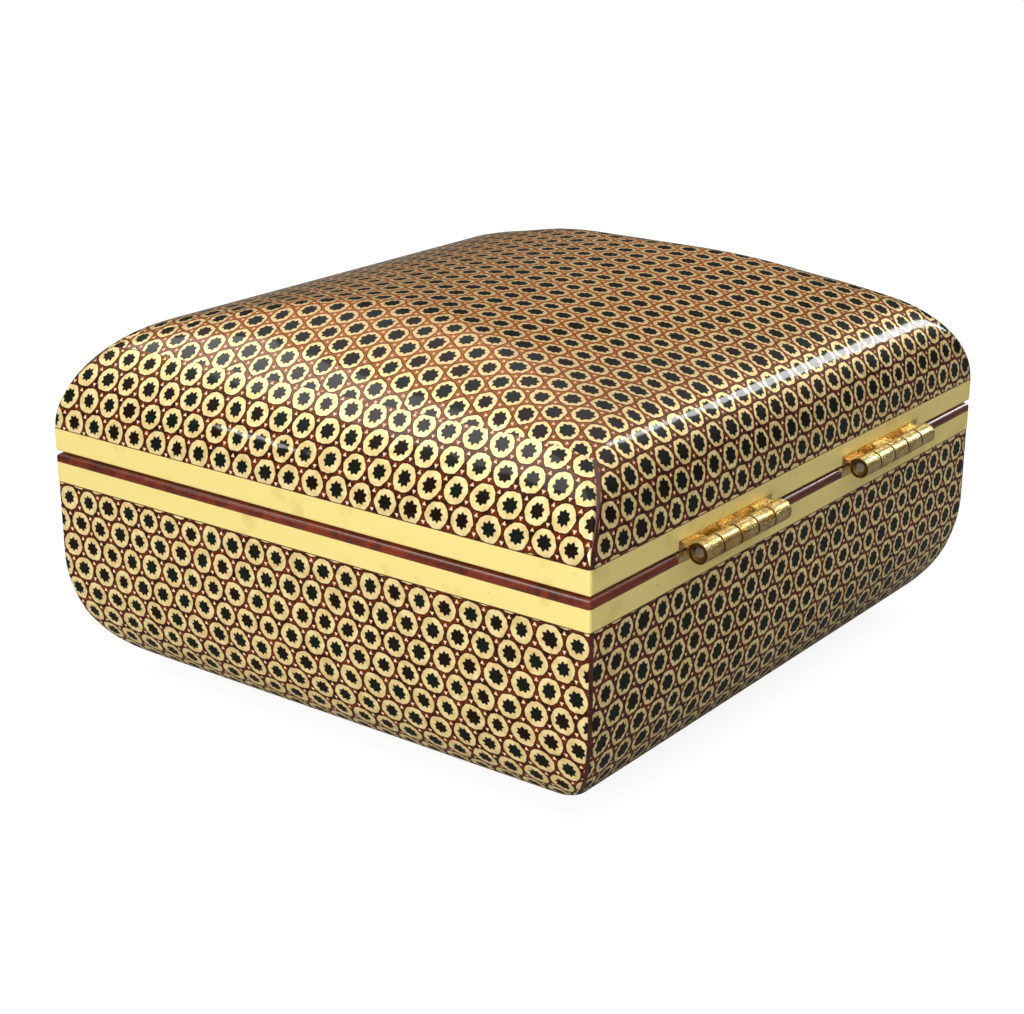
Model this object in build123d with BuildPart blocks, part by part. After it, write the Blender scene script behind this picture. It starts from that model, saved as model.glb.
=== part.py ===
"""A small hinged jewelry box with a domed lid, covered in khatam marquetry, in millimetres.

The wooden case is four mitred boards on a floor board, under a skin of khatam sheets.  Brass strips edge the
two rims, a red wooden lip caps the body, velvet lines the inside, and two brass hinges stand out at the back.
X runs along the hinged side, the front faces -Y, and the origin is the middle of the felt that it stands on.
"""

import os
from math import cos, radians, sin

from build123d import *

os.makedirs("parts", exist_ok=True)

# The case, outside
case_width = 123.5
case_depth = 112.0
corner_round = 0.6

# Heights, from the table up
felt_thickness = 0.8
body_khatam_height = 35.0
body_band_height = 3.5
lip_height = 1.6
parting_gap = 0.4
lid_band_height = 4.0
lid_wall_height = 12.0

# Thicknesses
skin = 1.2
board = 6.3
floor_thickness = 6.0
lid_board = 5.0
lining = 1.2
floor_pad_thickness = 3.4
floor_pad_crown = 1.2
ceiling_card = 1.5
ceiling_pad_thickness = 2.4
ceiling_pad_crown = 0.8
lining_drop = 0.5
glue_gap = 0.1

# The body's section: a straight side, an easing arc, then the turn to the flat underside
body_easing_radius = 32.0
body_easing_angle = 17.4
body_turn_radius = 17.3

# The lid's sections at the ends and at the front and back: an easing arc, a shoulder, then a level crown
end_easing_radius = 9.0
end_easing_angle = 24.4
end_shoulder_radius = 34.7
end_shoulder_angle = 89.0
face_easing_radius = 24.5
face_easing_angle = 18.2
face_shoulder_radius = 14.7
face_shoulder_angle = 72.4
end_sheet_height = 14.2

# Edges that are eased by hand
lip_round = 1.3
band_ease = 0.4
pad_round = 1.0
pad_draw = 0.5
felt_margin = 1.5

# The two hinges
hinge_places = {"left": -26.9, "right": 23.9}
hinge_length = 25.5
knuckle_count = 5
knuckle_radius = 1.75
knuckle_gap = 0.12
knuckle_ease = 0.2
leaf_thickness = 0.55
leaf_depth = 5.4
leaf_run_on = 2.0
leaf_flange_height = 1.6
leaf_recess = 0.05
barrel_standoff = 0.25
barrel_drop = 0.35
pin_clearance = 0.05
pin_setback = 0.6
curl_slit = 0.25
pocket_clearance = 0.1
nail_radius = 0.45
nail_head_radius = 0.8
nail_head_height = 0.15
nail_length = 4.0
nail_spacing = 15.0

# Levels and insets that follow from them
skin_bottom = felt_thickness
body_band_bottom = skin_bottom + body_khatam_height
lip_bottom = body_band_bottom + body_band_height
lip_top = lip_bottom + lip_height
lid_bottom = lip_top + parting_gap
lid_band_top = lid_bottom + lid_band_height
lid_wall_top = lid_bottom + lid_wall_height
end_sheet_top = lid_band_top + end_sheet_height
floor_bottom = skin_bottom + skin
floor_top = floor_bottom + floor_thickness
hollow_inset = skin + board
lining_inset = hollow_inset + lining
body_lean = radians(body_easing_angle)
underside_inset = body_easing_radius * (1 - cos(body_lean)) + body_turn_radius * cos(body_lean)
body_curve_height = body_easing_radius * sin(body_lean) + body_turn_radius * (1 - sin(body_lean))
body_straight = body_khatam_height - body_curve_height
lid_end_arcs = (end_easing_radius, end_easing_angle, end_shoulder_radius, end_shoulder_angle)
lid_face_arcs = (face_easing_radius, face_easing_angle, face_shoulder_radius, face_shoulder_angle)
hinge_y = case_depth / 2 + knuckle_radius + barrel_standoff
hinge_z = lip_top + parting_gap / 2 - barrel_drop
pin_radius = knuckle_radius - leaf_thickness - pin_clearance
leaf_face = case_depth / 2 - leaf_recess
reach = case_width + case_depth

sides = ("front", "back", "left", "right")


def keep(part, name):
    """Names a finished piece and writes its file."""
    part.label = name
    export_step(part, f"parts/{name}.step")


def body_section(half, inset):
    """The body's closed section, a given inset in from its outer face, with its base level kept."""
    with BuildSketch() as section:
        with BuildLine():
            side = Line((half - inset, lip_top), (half - inset, body_band_bottom - body_straight))
            easing = JernArc(side @ 1, (0, -1), body_easing_radius - inset, -body_easing_angle)
            turn = JernArc(easing @ 1, easing % 1, body_turn_radius - inset, body_easing_angle - 90)
            if inset:
                foot = Line(turn @ 1, ((turn @ 1).X, skin_bottom))
                Line(foot @ 1, (0, skin_bottom))
            else:
                Line(turn @ 1, (0, skin_bottom))
            Line(side @ 0, (0, lip_top))
            mirror(about=Plane.YZ)
        make_face()
    return section.sketch


def lid_section(half, inset, arcs):
    """The lid's closed section, a given inset in from its outer face, up to a level crown."""
    easing_radius, easing_angle, shoulder_radius, shoulder_angle = arcs
    crown_angle = 90 - shoulder_angle
    with BuildSketch() as section:
        with BuildLine():
            side = Line((half - inset, lid_bottom), (half - inset, lid_band_top))
            easing = JernArc(side @ 1, (0, 1), easing_radius - inset, easing_angle)
            shoulder = JernArc(easing @ 1, easing % 1, shoulder_radius - inset, shoulder_angle - easing_angle)
            crown_radius = (shoulder @ 1).X / sin(radians(crown_angle))
            JernArc(shoulder @ 1, shoulder % 1, crown_radius, crown_angle)
            Line(side @ 0, (0, lid_bottom))
            mirror(about=Plane.YZ)
        make_face()
    return section.sketch


def crossed(width_section, depth_section):
    """The solid that has one section seen from the front and the other seen from the side."""
    with BuildPart() as block:
        with BuildSketch(Plane.XZ):
            add(width_section)
        extrude(amount=reach, both=True)
        with BuildSketch(Plane.YZ):
            add(depth_section)
        extrude(amount=reach, both=True, mode=Mode.INTERSECT)
    return block.part


def body_block(width_inset, depth_inset):
    """The body's outer form, moved in by its own inset on the ends and on the front and back."""
    return crossed(body_section(case_width / 2, width_inset), body_section(case_depth / 2, depth_inset))


def lid_block(width_inset, depth_inset):
    """The lid's outer form, moved in by its own inset on the ends and on the front and back."""
    return crossed(
        lid_section(case_width / 2, width_inset, lid_end_arcs),
        lid_section(case_depth / 2, depth_inset, lid_face_arcs),
    )


def slab(low, high, inset=-1.0):
    """A plain block between two levels, a given inset in from the case's upright faces."""
    with BuildPart() as block:
        with Locations((0, 0, low)):
            Box(
                case_width - 2 * inset,
                case_depth - 2 * inset,
                high - low,
                align=(Align.CENTER, Align.CENTER, Align.MIN),
            )
    return block.part


def frame_length(side, outer_inset, inner_inset, low, high):
    """One mitred length of a rectangular frame, between two insets from the case's upright faces."""
    ox, oy = case_width / 2 - outer_inset, case_depth / 2 - outer_inset
    ix, iy = case_width / 2 - inner_inset, case_depth / 2 - inner_inset
    corners = {
        "front": ((-ox, -oy), (ox, -oy), (ix, -iy), (-ix, -iy)),
        "back": ((-ox, oy), (ox, oy), (ix, iy), (-ix, iy)),
        "left": ((-ox, -oy), (-ox, oy), (-ix, iy), (-ix, -iy)),
        "right": ((ox, -oy), (ox, oy), (ix, iy), (ix, -iy)),
    }[side]
    with BuildPart() as length:
        with BuildSketch(Plane.XY.offset(low)):
            with BuildLine():
                Polyline(*corners, close=True)
            make_face()
        extrude(amount=high - low)
    return length.part


def rounded_case(low, high):
    """The case's upright outline with its corners eased, to trim what meets at a corner."""
    with BuildPart() as outline:
        with BuildSketch(Plane.XY.offset(low)):
            RectangleRounded(case_width, case_depth, corner_round)
        extrude(amount=high - low)
    return outline.part


def nail_spots(level):
    """Where the nails stand, two to a leaf, at a given level."""
    y = case_depth / 2 - skin - (leaf_depth - skin) / 2
    return [(x + step, y, level) for x in hinge_places.values() for step in (-nail_spacing / 2, nail_spacing / 2)]


def nail_holes(level):
    """The holes for the hinge nails, through a rim at a level."""
    with BuildPart() as holes:
        with Locations(*nail_spots(level)):
            Cylinder(nail_radius, 2 * (nail_length + pocket_clearance))
    return holes.part


def hinge_pockets(level, up):
    """The pockets of the leaves in one rim: a deep one for the plate and a shallow one for its flange.

    The rim's level is where they start, and up is 1 in the lid and -1 in the body.
    """
    length = hinge_length + leaf_run_on + 2 * pocket_clearance
    middles = [x + leaf_run_on / 2 for x in hinge_places.values()]
    outside = case_depth / 2 + pocket_clearance
    start = Align.MIN if up > 0 else Align.MAX
    plate_depth = leaf_depth + 2 * pocket_clearance
    flange_depth = leaf_recess + leaf_thickness + 2 * pocket_clearance
    with BuildPart() as pockets:
        with Locations(*[(x, outside, level - up * parting_gap / 2) for x in middles]):
            Box(
                length,
                plate_depth,
                leaf_thickness + parting_gap / 2,
                align=(Align.CENTER, Align.MAX, start),
            )
            Box(
                length,
                flange_depth,
                leaf_flange_height + pocket_clearance + parting_gap / 2,
                align=(Align.CENTER, Align.MAX, start),
            )
    return pockets.part


def pad_section(half, thickness, crown):
    """A pad's closed section: a flat underside, low drawn-in sides and a crown rising to the middle."""
    with BuildSketch() as section:
        with BuildLine():
            side = Line((half, 0), (half - pad_draw, thickness - crown))
            ThreePointArc(side @ 1, (0, thickness), (-(half - pad_draw), thickness - crown))
            Line((-(half - pad_draw), thickness - crown), (-half, 0))
            Line((-half, 0), (half, 0))
        make_face()
        fillet(section.vertices().filter_by(lambda corner: corner.Y > 0), pad_round)
    return section.sketch


def crowned_pad(inset, thickness, crown):
    """A velvet pad lying on its flat side at the origin, a given inset in from the case's faces."""
    return crossed(
        pad_section(case_width / 2 - inset, thickness, crown),
        pad_section(case_depth / 2 - inset, thickness, crown),
    )


body_pocket = hinge_pockets(lip_top, -1)
lid_pocket = hinge_pockets(lid_bottom, 1)

body_carcass = body_block(skin, skin)
lid_carcass = lid_block(skin, skin)

# Body: the boards
with BuildPart() as floor_board:
    add(body_carcass)
    add(slab(floor_bottom, floor_top), mode=Mode.INTERSECT)
keep(floor_board.part, "body_floor_board")

for side in sides:
    with BuildPart() as wall:
        add(body_carcass)
        add(frame_length(side, skin, hollow_inset, floor_top, lip_bottom), mode=Mode.INTERSECT)
        if side == "back":
            add(body_pocket, mode=Mode.SUBTRACT)
            add(nail_holes(lip_top), mode=Mode.SUBTRACT)
    keep(wall.part, f"body_wall_{side}")

# Body: the base
with BuildPart() as base_plate:
    with Locations((0, 0, skin_bottom)):
        Box(
            case_width - 2 * (underside_inset + glue_gap),
            case_depth - 2 * (underside_inset + glue_gap),
            skin,
            align=(Align.CENTER, Align.CENTER, Align.MIN),
        )
keep(base_plate.part, "body_base_plate")

with BuildPart() as base_felt:
    with BuildSketch():
        RectangleRounded(
            case_width - 2 * (underside_inset + felt_margin),
            case_depth - 2 * (underside_inset + felt_margin),
            felt_margin,
        )
    extrude(amount=felt_thickness)
keep(base_felt.part, "body_base_felt")

# Body: the khatam sheets.  The end sheets run the full depth, and the front and back ones lie between them.
body_khatam_zone = slab(skin_bottom, body_band_bottom)
with BuildPart() as body_ends:
    add(body_block(0, 0))
    add(body_block(skin, 0), mode=Mode.SUBTRACT)
    add(body_khatam_zone, mode=Mode.INTERSECT)
with BuildPart() as body_faces:
    add(body_block(skin, 0))
    add(body_carcass, mode=Mode.SUBTRACT)
    add(body_khatam_zone, mode=Mode.INTERSECT)
end_sheets = body_ends.part.solids().sort_by(Axis.X)
face_sheets = body_faces.part.solids().sort_by(Axis.Y)
for side, sheet in zip(("left", "right", "front", "back"), (*end_sheets, *face_sheets)):
    with BuildPart() as khatam:
        add(sheet)
        add(rounded_case(skin_bottom, body_band_bottom), mode=Mode.INTERSECT)
    keep(khatam.part, f"body_khatam_{side}")

# Body: the brass band and the wooden lip on top of it
for side in sides:
    with BuildPart() as band:
        add(frame_length(side, 0, skin, body_band_bottom, lip_bottom))
        add(rounded_case(body_band_bottom, lip_bottom), mode=Mode.INTERSECT)
        if side == "back":
            add(body_pocket, mode=Mode.SUBTRACT)
    keep(band.part, f"body_band_{side}")

outward = {"front": (Axis.Y, 0), "back": (Axis.Y, -1), "left": (Axis.X, 0), "right": (Axis.X, -1)}
for side in sides:
    axis, index = outward[side]
    with BuildPart() as lip:
        add(frame_length(side, 0, hollow_inset, lip_bottom, lip_top))
        outer_edge = lip.faces().sort_by(axis)[index].edges().sort_by(Axis.Z)[-1]
        fillet(outer_edge, lip_round)
        add(rounded_case(lip_bottom, lip_top), mode=Mode.INTERSECT)
        if side == "back":
            add(body_pocket, mode=Mode.SUBTRACT)
            add(nail_holes(lip_top), mode=Mode.SUBTRACT)
    keep(lip.part, f"body_lip_{side}")

# Body: the velvet inside
for side in sides:
    with BuildPart() as cloth:
        add(frame_length(side, hollow_inset, lining_inset, floor_top, lip_top - lining_drop))
    keep(cloth.part, f"body_lining_{side}")

with BuildPart() as floor_pad:
    add(crowned_pad(lining_inset + glue_gap, floor_pad_thickness, floor_pad_crown).moved(Location((0, 0, floor_top))))
keep(floor_pad.part, "body_floor_pad")

# Lid: the boards
for side in sides:
    with BuildPart() as wall:
        add(lid_carcass)
        add(frame_length(side, skin, hollow_inset, lid_bottom, lid_wall_top), mode=Mode.INTERSECT)
        if side == "back":
            add(lid_pocket, mode=Mode.SUBTRACT)
            add(nail_holes(lid_bottom), mode=Mode.SUBTRACT)
    keep(wall.part, f"lid_wall_{side}")

with BuildPart() as top_board:
    add(lid_carcass)
    add(lid_block(skin + lid_board, skin + lid_board), mode=Mode.SUBTRACT)
    split(bisect_by=Plane.XY.offset(lid_wall_top), keep=Keep.TOP)
keep(top_board.part, "lid_top_board")

# Lid: the khatam.  One sheet wraps over from the front to the back, and a low sheet closes each end.
with BuildPart() as lid_ends:
    add(lid_block(0, 0))
    add(lid_block(skin, 0), mode=Mode.SUBTRACT)
    add(slab(lid_band_top, end_sheet_top), mode=Mode.INTERSECT)
for side, sheet in zip(("left", "right"), lid_ends.part.solids().sort_by(Axis.X)):
    with BuildPart() as khatam:
        add(sheet)
        add(rounded_case(lid_band_top, end_sheet_top), mode=Mode.INTERSECT)
    keep(khatam.part, f"lid_khatam_{side}")

with BuildPart() as wrap:
    add(lid_block(0, 0))
    split(bisect_by=Plane.XY.offset(lid_band_top), keep=Keep.TOP)
    add(lid_carcass, mode=Mode.SUBTRACT)
    add(lid_ends.part, mode=Mode.SUBTRACT)
keep(wrap.part, "lid_khatam_top")

# Lid: the brass band, with its lower edge eased
for side in sides:
    axis, index = outward[side]
    with BuildPart() as band:
        add(frame_length(side, 0, skin, lid_bottom, lid_band_top))
        lower_edge = band.faces().sort_by(axis)[index].edges().sort_by(Axis.Z)[0]
        fillet(lower_edge, band_ease)
        add(rounded_case(lid_bottom, lid_band_top), mode=Mode.INTERSECT)
        if side == "back":
            add(lid_pocket, mode=Mode.SUBTRACT)
    keep(band.part, f"lid_band_{side}")

# Lid: the padded ceiling and the velvet on the walls
ceiling_top = lid_wall_top
ceiling_pad_top = ceiling_top - ceiling_card
ceiling_pad_bottom = ceiling_pad_top - ceiling_pad_thickness
with BuildPart() as ceiling_panel:
    add(slab(ceiling_pad_top, ceiling_top, hollow_inset + glue_gap))
keep(ceiling_panel.part, "lid_ceiling_panel")

pad_upside_down = Location((0, 0, ceiling_pad_top), (180, 0, 0))
with BuildPart() as ceiling_pad:
    add(crowned_pad(hollow_inset + glue_gap, ceiling_pad_thickness, ceiling_pad_crown).moved(pad_upside_down))
keep(ceiling_pad.part, "lid_ceiling_pad")

for side in sides:
    with BuildPart() as cloth:
        add(frame_length(side, hollow_inset, lining_inset, lid_bottom + lining_drop, ceiling_pad_bottom))
    keep(cloth.part, f"lid_lining_{side}")


def hinge_leaf(x, over):
    """One leaf of a hinge: a plate let into the rim, with every second knuckle rolled from it.

    The plate of the lid's leaf lies on the lid's rim, and that of the body's on the lip.  It runs on past the
    near end of the barrel, and a flange turned from its outer edge shows in the brass band.
    """
    up = 1 if over else -1
    rim = lid_bottom if over else lip_top
    plate_middle = rim + up * leaf_thickness / 2
    slit_middle = rim - up * curl_slit / 2
    pitch = hinge_length / knuckle_count
    first = 0 if over else 1
    middles = [x + hinge_length / 2 - pitch * (step + 0.5) for step in range(first, knuckle_count, 2)]
    with BuildPart() as leaf:
        for middle in middles:
            with BuildSketch(Plane.YZ.offset(middle)):
                with Locations((hinge_y, hinge_z)):
                    Circle(knuckle_radius)
            extrude(amount=(pitch - knuckle_gap) / 2, both=True)
        chamfer(leaf.edges().filter_by(GeomType.CIRCLE), knuckle_ease)
        with BuildSketch(Plane.YZ.offset(x - hinge_length / 2)):
            with Locations((leaf_face, plate_middle)):
                Rectangle(leaf_depth - leaf_recess, leaf_thickness, align=(Align.MAX, Align.CENTER))
            with Locations((leaf_face, rim + up * leaf_flange_height / 2)):
                Rectangle(leaf_thickness, leaf_flange_height, align=(Align.MAX, Align.CENTER))
        extrude(amount=hinge_length + leaf_run_on)
        for middle in middles:
            with BuildSketch(Plane.YZ.offset(middle)):
                with Locations((hinge_y - pin_radius, plate_middle)):
                    Rectangle(hinge_y - leaf_face, leaf_thickness, align=(Align.MAX, Align.CENTER))
            extrude(amount=(pitch - knuckle_gap) / 2, both=True)
            with BuildSketch(Plane.YZ.offset(middle)):
                with Locations((hinge_y, hinge_z)):
                    Circle(pin_radius + pin_clearance)
                with Locations((hinge_y, slit_middle)):
                    Rectangle(knuckle_radius, curl_slit, align=(Align.MAX, Align.CENTER))
            extrude(amount=pitch / 2, both=True, mode=Mode.SUBTRACT)
        add(nail_holes(rim), mode=Mode.SUBTRACT)
    return leaf.part


# The hinges: two leaves and a pin each
for place, x in hinge_places.items():
    keep(hinge_leaf(x, over=False), f"hinge_{place}_body_leaf")
    keep(hinge_leaf(x, over=True), f"hinge_{place}_lid_leaf")
    with BuildPart() as pin:
        with BuildSketch(Plane.YZ.offset(x)):
            with Locations((hinge_y, hinge_z)):
                Circle(pin_radius)
        extrude(amount=hinge_length / 2 - pin_setback, both=True)
        chamfer(pin.edges().filter_by(GeomType.CIRCLE), pin_radius / 3)
    keep(pin.part, f"hinge_{place}_pin")


def nails(level, direction):
    """Four headed nails through the leaves, from a leaf's open face into the wood."""
    toward = Align.MIN if direction > 0 else Align.MAX
    with BuildPart() as group:
        with Locations(*nail_spots(level)):
            Cylinder(nail_radius, nail_length, align=(Align.CENTER, Align.CENTER, toward))
        with Locations(*nail_spots(level)):
            Cylinder(
                nail_head_radius,
                nail_head_height,
                align=(Align.CENTER, Align.CENTER, Align.MAX if direction > 0 else Align.MIN),
            )
    return group.part


keep(nails(lip_top, -1), "body_hinge_nails")
keep(nails(lid_bottom, 1), "lid_hinge_nails")
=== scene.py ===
"""Dresses the khatam jewelry box: marquetry, brass edging, hinges, red lips and the velvet inside.

The camera stands where the photograph was taken from.  Lengths are in metres.  Angles are given in degrees,
and a lean that a function works out is in radians.
"""

from math import acos, asin, cos, pi, radians, sin, sqrt

import bmesh
import bpy
from mathutils import Matrix, Vector


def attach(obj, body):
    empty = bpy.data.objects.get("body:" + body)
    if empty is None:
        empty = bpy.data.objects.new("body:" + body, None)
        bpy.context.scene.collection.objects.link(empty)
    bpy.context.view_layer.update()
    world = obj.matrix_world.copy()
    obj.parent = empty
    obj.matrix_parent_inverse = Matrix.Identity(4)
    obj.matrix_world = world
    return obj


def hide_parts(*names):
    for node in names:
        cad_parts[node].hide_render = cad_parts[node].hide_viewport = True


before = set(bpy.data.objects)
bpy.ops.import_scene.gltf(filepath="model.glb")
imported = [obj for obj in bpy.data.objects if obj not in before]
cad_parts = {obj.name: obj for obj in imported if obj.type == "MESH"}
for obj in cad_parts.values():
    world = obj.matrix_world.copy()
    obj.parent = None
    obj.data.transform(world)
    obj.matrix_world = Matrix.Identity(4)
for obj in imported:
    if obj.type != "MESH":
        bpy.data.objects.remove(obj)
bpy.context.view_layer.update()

mm = 0.001

# The case, as it was built
case_width = 123.5 * mm
case_depth = 112.0 * mm
skin = 1.2 * mm
board = 6.3 * mm
felt_thickness = 0.8 * mm

# Heights of the body's and the lid's layers, from the table up
body_khatam_height = 35.0 * mm
body_band_height = 3.5 * mm
lip_height = 1.6 * mm
parting_gap = 0.4 * mm
lid_band_height = 4.0 * mm
lid_wall_height = 12.0 * mm
body_band_bottom = felt_thickness + body_khatam_height
lip_top = body_band_bottom + body_band_height + lip_height
lid_bottom = lip_top + parting_gap
lid_band_top = lid_bottom + lid_band_height
lid_wall_top = lid_bottom + lid_wall_height

# The curved walls: the body's straight stretch, and arcs, each a radius and the lean that it ends at
body_straight = 13.3 * mm
body_arcs = ((32.0 * mm, 17.4), (17.3 * mm, 90.0))
end_arcs = ((9.0 * mm, 24.4), (34.7 * mm, 89.0))
face_arcs = ((24.5 * mm, 18.2), (14.7 * mm, 72.4))
lid_seam_rise = 14.2 * mm
crown_rise = 24.08 * mm

# How round the corners are: crisp at the brass bands, and softer away from them
corner_round = 0.8 * mm
body_corner_growth = 2.5 * mm
hip_softness = 4.5 * mm
hip_fade = 4.0 * mm

# The velvet inside, and the boards that it lies on
lining = 1.2 * mm
lining_drop = 0.5 * mm
glue_gap = 0.1 * mm
floor_thickness = 6.0 * mm
floor_pad_thickness = 3.4 * mm
ceiling_panel_thickness = 1.5 * mm
ceiling_pad_thickness = 2.4 * mm
hollow_inset = skin + board
lining_inset = hollow_inset + lining
floor_top = felt_thickness + skin + floor_thickness
body_lining_top = lip_top - lining_drop
lid_lining_bottom = lid_bottom + lining_drop
ceiling_pad_top = lid_wall_top - ceiling_panel_thickness
ceiling_pad_bottom = ceiling_pad_top - ceiling_pad_thickness

# The felt covers the flat of the underside, less a margin
felt_width = 84.56 * mm
felt_depth = 73.06 * mm

# The hinges: the left one's middle, how far apart the two are, the knuckles' pitch, and where barrels begin
left_hinge = -26.9 * mm
hinge_apart = 50.8 * mm
knuckle_pitch = 5.1 * mm
barrel_start = 56.2 * mm

# Bare wood shows beyond this part of a face's half width, beside an end sheet, and on the glue line at a band
bare_edge = 0.983
glue_line = 0.16 * mm

# Each sheet is cut from its own block: where a star's middle lies, along the row and up or down from the
# band, the pitch of its stars, and how far its rows lean, in degrees
laying = {
    "body_end": (-2.02 * mm, -1.65 * mm, 4.86 * mm, 0.0),
    "body_face": (-2.33 * mm, -1.41 * mm, 4.77 * mm, -0.25),
    "lid_end": (3.34 * mm, 2.06 * mm, 4.92 * mm, 0.25),
    "lid_top": (-0.44 * mm, -1.13 * mm, 4.68 * mm, -0.4),
}

# The marquetry's repeat, from star to star, and from row to row as a part of that
star_pitch = 4.85 * mm
row_share = cos(radians(30))

# Shares of that pitch: how softly edges end, how deep they fray, the dark line round a ring, and the chips
crisp = 0.009
fray_depth = 0.014
star_softness = 0.012
outline_width = 0.036
chip_reach = 0.041
triangle_middle = 1 / sqrt(3)


def linear(hex_colour):
    """The linear colour of an sRGB hex value."""
    channels = [int(hex_colour[i : i + 2], 16) / 255 for i in (1, 3, 5)]
    return [c / 12.92 if c <= 0.04045 else ((c + 0.055) / 1.055) ** 2.4 for c in channels] + [1.0]


def put(tree, kind, inputs=(), **settings):
    """Adds a node with its settings, and sets or links its inputs, given as pairs of input and value."""
    node = tree.nodes.new(kind)
    for name, value in settings.items():
        setattr(node, name, value)
    for key, value in inputs:
        if isinstance(value, bpy.types.NodeSocket):
            tree.links.new(value, node.inputs[key])
        else:
            node.inputs[key].default_value = value
    return node


def new_material(name):
    """An empty material with a surface shader, and its tree."""
    material = bpy.data.materials.new(name)
    material.use_nodes = True
    tree = material.node_tree
    return material, tree, tree.nodes["Principled BSDF"]


def deselect():
    """Leaves nothing selected, in object mode."""
    if bpy.context.mode != "OBJECT":
        bpy.ops.object.mode_set(mode="OBJECT")
    bpy.ops.object.select_all(action="DESELECT")


# Sections

def follow(arcs, distance):
    """The inset, the rise and the lean where a chain of arcs has been followed for a distance.

    Each arc is a radius and the lean from upright, in degrees, that it ends at.
    """
    inset = rise = lean = 0.0
    for radius, end_degrees in arcs:
        end_lean = radians(end_degrees)
        turned = min(end_lean, lean + distance / radius)
        inset += radius * (cos(lean) - cos(turned))
        rise += radius * (sin(turned) - sin(lean))
        distance -= radius * (turned - lean)
        lean = turned
        if distance <= 1e-9:
            break
    return inset, rise, lean


def reach(arcs, height):
    """The inset and the distance followed where a chain of arcs has risen to a height."""
    inset = rise = distance = lean = 0.0
    for radius, end_degrees in arcs:
        end_lean = radians(end_degrees)
        turned = asin(min(1.0, sin(lean) + (height - rise) / radius))
        turned = min(turned, end_lean)
        inset += radius * (cos(lean) - cos(turned))
        distance += radius * (turned - lean)
        rise += radius * (sin(turned) - sin(lean))
        lean = turned
        if height - rise < 1e-9:
            break
    return inset, distance


def length_of(arcs):
    """How long a chain of arcs is."""
    ends = [0.0] + [radians(end) for _, end in arcs]
    return sum(radius * (b - a) for (radius, _), a, b in zip(arcs, ends, ends[1:]))


def crowned(arcs, half):
    """The same arcs with the last one that levels out at the middle."""
    inset, _, lean = follow(arcs, length_of(arcs))
    return (*arcs, ((half - inset) / sin(pi / 2 - lean), 90.0))


def steps(low, high, spacing):
    """Evenly spaced values from low to high, no more than a spacing apart."""
    count = max(1, round((high - low) / spacing + 0.49))
    return [low + (high - low) * i / count for i in range(count + 1)]


end_section = crowned(end_arcs, case_width / 2)
face_section = crowned(face_arcs, case_depth / 2)


def body_fall(distance):
    """The body's inset and the depth below its band, a distance down the skin."""
    if distance <= body_straight:
        return 0.0, distance
    inset, fall, _ = follow(body_arcs, distance - body_straight)
    return inset, body_straight + fall


def body_inset(depth):
    """The body's inset at a depth below its band."""
    if depth <= body_straight:
        return 0.0
    return reach(body_arcs, depth - body_straight)[0]


def round_corner(x, y, half_x, half_y, radius):
    """Moves a point of a level outline in where the outline's corner is rounded.

    Each side of the outline runs over half of the corner's arc, so the two sides still meet at its middle.
    """
    radius = min(radius, 0.95 * half_x, 0.95 * half_y)
    if radius <= 0:
        return x, y
    on_end = abs(x) >= half_x - 1e-7
    along, half = (abs(y), half_y) if on_end else (abs(x), half_x)
    turn = (along - half + radius) / radius * pi / 4
    if turn <= 0:
        return x, y
    out_x = cos(turn) if on_end else sin(turn)
    out_y = sin(turn) if on_end else cos(turn)
    new_x = half_x - radius + radius * out_x
    new_y = half_y - radius + radius * out_y
    return (new_x if x >= 0 else -new_x), (new_y if y >= 0 else -new_y)


def body_point(x, y, depth):
    """A point of the body's skin at a depth below its band, with its corner rounded."""
    inset = body_inset(depth)
    radius = corner_round + body_corner_growth * (depth / body_khatam_height) ** 4
    x, y = round_corner(x, y, case_width / 2 - inset, case_depth / 2 - inset, radius)
    return x, y, body_band_bottom - depth


def climb_at(arcs, inset):
    """The rise where a chain of arcs has gone in by an inset."""
    gone = rise = lean = 0.0
    for radius, end_degrees in arcs:
        turned = acos(max(-1.0, min(1.0, cos(lean) - (inset - gone) / radius)))
        turned = min(radians(end_degrees), turned)
        gone += radius * (cos(lean) - cos(turned))
        rise += radius * (sin(turned) - sin(lean))
        lean = turned
        if inset - gone < 1e-9:
            break
    return rise


def eased(value):
    """A value from 0 to 1 with both of its ends softened."""
    value = max(0.0, min(1.0, value))
    return value * value * (3 - 2 * value)


def lid_point(x, y, rise):
    """A point of the lid's skin at a rise above its band.

    The hips between the ends and the faces are crisp at the band, and melt into the crown higher up.
    """
    half_x = case_width / 2 - reach(end_section, rise)[0]
    half_y = case_depth / 2 - reach(face_section, rise)[0]
    end_rise = climb_at(end_section, case_width / 2 - abs(x))
    face_rise = climb_at(face_section, case_depth / 2 - abs(y))
    apart = abs(end_rise - face_rise)
    softness = hip_softness * eased(rise / lid_seam_rise) * eased((crown_rise - rise) / hip_fade)
    if softness > apart:
        rise -= (softness - apart) ** 2 / (4 * softness)
    x, y = round_corner(x, y, half_x, half_y, corner_round)
    return x, y, lid_band_top + rise


def pattern_place(sheet, along, climb):
    """Where a point of a sheet lies on its khatam block, in millimetres at the usual pitch."""
    start_along, start_climb, pitch, lean = laying[sheet]
    u = along - start_along
    v = climb - start_climb
    turn = radians(lean)
    scale = star_pitch / pitch / mm
    return (u * cos(turn) + v * sin(turn)) * scale, (v * cos(turn) - u * sin(turn)) * scale


# Khatam sheets

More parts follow.
